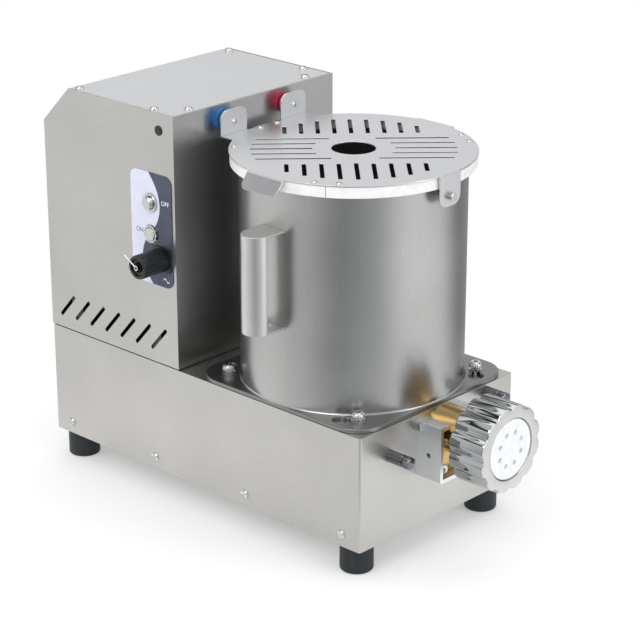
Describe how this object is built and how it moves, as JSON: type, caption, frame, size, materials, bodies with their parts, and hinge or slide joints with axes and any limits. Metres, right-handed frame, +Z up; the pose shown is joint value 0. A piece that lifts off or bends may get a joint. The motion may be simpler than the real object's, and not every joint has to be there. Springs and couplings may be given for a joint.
{
  "type": "electric pasta maker",
  "caption": "Counter-top electric pasta extruder: a steel mixing bowl with a lifting lid on a sheet-steel base, a tower with push buttons, and a brass head with a ring nut and die.",
  "frame": {"origin": "on the surface it stands on, under the middle of the whole part's bounding box", "axes": "+X from the tower to the extrusion head, the longest way; +Y from the button face to the far side; +Z up"},
  "size_m": [0.534, 0.2776, 0.4036],
  "materials": {
    "base_steel": "satin",
    "bowl_steel": "satin",
    "bright_steel": "polished",
    "dark_chrome": "polished",
    "rubber_black": "matt",
    "overlay_light": "printed film",
    "overlay_dark": "printed film",
    "black_plastic": "moulded",
    "button_steel": "satin",
    "white_plastic": "moulded",
    "die_plastic": "machined",
    "magnet_blue": "moulded",
    "magnet_red": "moulded",
    "cast_aluminium": "satin",
    "brass": "turned",
    "inner_steel": "machined",
    "motor_paint": "painted",
    "board_green": "lacquered"
  },
  "bodies": {
    "housing": {"base_casing": "base_steel", "bottom_plate": "base_steel", "rubber_feet": "rubber_black", "foot_bolts": "bright_steel", "base_screws": "bright_steel", "tower_casing": "base_steel", "tower_top_cover": "base_steel", "top_cover_screws": "bright_steel", "overlay_light": "overlay_light", "overlay_dark": "overlay_dark", "off_button_collar": "button_steel", "on_button_collar": "button_steel", "switch_blocks": "black_plastic", "hole_plug": "dark_chrome", "auxiliary_socket": "black_plastic", "bayonet_studs": "bright_steel", "control_board": "board_green", "head_bracket": "cast_aluminium", "head_clip": "bright_steel", "extrusion_barrel": "brass", "barrel_screws": "bright_steel", "front_plate": "bowl_steel", "accessory_studs": "dark_chrome", "mixer_bush": "brass", "motor_housing": "motor_paint", "gearbox_housing": "cast_aluminium", "motor_bracket": "inner_steel", "drive_belt": "rubber_black", "bearing_supports": "cast_aluminium", "shaft_bearings": "inner_steel", "reed_switches": "black_plastic", "cable_gland": "black_plastic"},
    "bowl": {"bowl_shell": "bowl_steel", "bowl_flange": "bowl_steel", "bowl_handle": "bowl_steel"},
    "lid": {"lid_plate": "bowl_steel", "lid_ring": "white_plastic", "lid_screws": "bright_steel", "blue_magnet": "magnet_blue", "red_magnet": "magnet_red", "magnet_screws": "bright_steel", "lid_pin": "bright_steel"},
    "off_button": {"off_button_cap": "button_steel"},
    "on_button": {"on_button_cap": "button_steel"},
    "socket_cap": {"socket_cap": "black_plastic", "socket_cap_eyelet": "bright_steel"},
    "die": {"die_insert": "die_plastic"},
    "ring_nut": {"ring_nut": "bright_steel"},
    "layshaft": {"layshaft": "inner_steel", "layshaft_bevel": "inner_steel", "layshaft_gear": "inner_steel", "layshaft_pulley": "cast_aluminium"},
    "mixer": {"mixer_shaft": "inner_steel", "mixer_bevel": "inner_steel", "mixer_paddle": "inner_steel"},
    "auger": {"auger_screw": "inner_steel", "auger_gear": "inner_steel"},
    "motor_output": {"output_pulley": "cast_aluminium"},
    "rotor": {"motor_rotor": "inner_steel", "motor_fan": "black_plastic"}
  },
  "joints": [
    {"name": "bowl_turn", "type": "hinge", "parent": "housing", "child": "bowl", "pos_m": [0.0685, 0.0094, 0.148], "axis": [0, 0, 1], "range_deg": [0, 8]},
    {"name": "lid_lift", "type": "slide", "parent": "housing", "child": "lid", "axis": [0, 0, 1], "range_m": [0, 0.12]},
    {"name": "off_press", "type": "slide", "parent": "housing", "child": "off_button", "axis": [0, 1, 0], "range_m": [0, 0.0025], "stiffness_N_per_m": 400, "springref_m": -0.002},
    {"name": "on_press", "type": "slide", "parent": "housing", "child": "on_button", "axis": [0, 1, 0], "range_m": [0, 0.0025], "stiffness_N_per_m": 400, "springref_m": -0.002},
    {"name": "socket_cap_turn", "type": "hinge", "parent": "housing", "child": "socket_cap", "pos_m": [-0.079, -0.1034, 0.2556], "axis": [0, 1, 0], "range_deg": [0, 90]},
    {"name": "die_slide", "type": "slide", "parent": "housing", "child": "die", "axis": [1, 0, 0], "range_m": [0, 0.0121]},
    {"name": "ring_turn", "type": "hinge", "parent": "die", "child": "ring_nut", "pos_m": [0.247, 0.0094, 0.1255], "axis": [1, 0, 0], "range_deg": [0, 1440]},
    {"name": "layshaft_turn", "type": "hinge", "parent": "housing", "child": "layshaft", "pos_m": [0.01, 0.0094, 0.0755], "axis": [1, 0, 0], "continuous": true},
    {"name": "mixer_turn", "type": "hinge", "parent": "housing", "child": "mixer", "pos_m": [0.0685, 0.0094, 0.12], "axis": [0, 0, 1], "continuous": true},
    {"name": "auger_turn", "type": "hinge", "parent": "housing", "child": "auger", "pos_m": [0.175, 0.0094, 0.1255], "axis": [1, 0, 0], "continuous": true},
    {"name": "motor_output_turn", "type": "hinge", "parent": "housing", "child": "motor_output", "pos_m": [-0.085, 0.0094, 0.25], "axis": [1, 0, 0], "continuous": true},
    {"name": "rotor_turn", "type": "hinge", "parent": "housing", "child": "rotor", "pos_m": [-0.17, 0.0094, 0.25], "axis": [1, 0, 0], "continuous": true}
  ],
  "couplings": [
    {"joint": "mixer_turn", "follows": "layshaft_turn", "ratio": 1},
    {"joint": "auger_turn", "follows": "layshaft_turn", "ratio": -2.5714},
    {"joint": "motor_output_turn", "follows": "layshaft_turn", "ratio": 1.5},
    {"joint": "rotor_turn", "follows": "layshaft_turn", "ratio": 15},
    {"joint": "die_slide", "follows": "ring_turn", "m_per_rad": 0.00047746}
  ]
}
